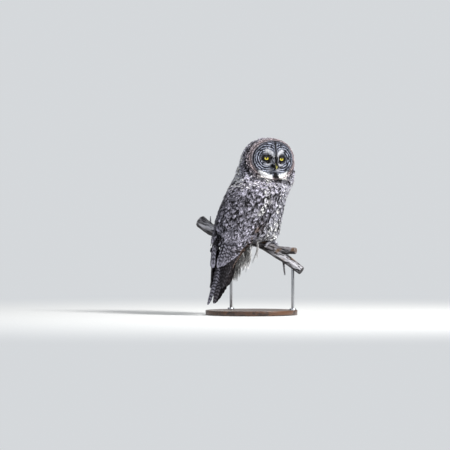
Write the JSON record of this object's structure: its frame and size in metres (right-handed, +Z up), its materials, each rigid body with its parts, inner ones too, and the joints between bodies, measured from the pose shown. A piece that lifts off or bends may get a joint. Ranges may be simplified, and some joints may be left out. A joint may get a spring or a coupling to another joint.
{
  "type": "great grey owl",
  "caption": "Life-size great grey owl, still, perched on a short cut branch held over a round base by two rods, head turned back over its right shoulder.",
  "frame": {"origin": "centre of the round base's underside", "axes": "+X the way the body faces, +Y the owl's left, +Z up; the face looks back over the right shoulder"},
  "size_m": [0.3705, 0.4111, 0.637],
  "materials": {
    "body_feathers": "matte grey-brown plumage, barred and streaked",
    "face_feathers": "matte grey facial disc with dark rings",
    "flight_feathers": "matte dark grey-brown feathers with paler bars",
    "leg_down": "matte pale grey leg and toe feathering",
    "iris": "wet gloss yellow iris with a black pupil",
    "lid_skin": "dark lid margin",
    "bill_horn": "satin yellow horn",
    "claw_horn": "satin black horn",
    "dead_wood": "weathered grey dead branch",
    "stand_wood": "dark satin hardwood base",
    "stand_steel": "brushed steel rods"
  },
  "bodies": {
    "root": {"head": "face_feathers", "neck": "body_feathers", "torso": "body_feathers", "tail": "flight_feathers", "wing_left": "flight_feathers", "wing_right": "flight_feathers", "leg_left": "leg_down", "leg_right": "leg_down", "foot_left": "leg_down", "foot_right": "leg_down", "claw_left_inner": "claw_horn", "claw_left_middle": "claw_horn", "claw_left_outer": "claw_horn", "claw_left_hind": "claw_horn", "claw_right_inner": "claw_horn", "claw_right_middle": "claw_horn", "claw_right_outer": "claw_horn", "claw_right_hind": "claw_horn", "eye_left": "iris", "eye_right": "iris", "eyelid_left": "lid_skin", "eyelid_right": "lid_skin", "bill_upper": "bill_horn", "bill_lower": "bill_horn", "perch_branch": "dead_wood", "stand_rod_left": "stand_steel", "stand_rod_right": "stand_steel", "stand_base": "stand_wood"}
  },
  "joints": []
}
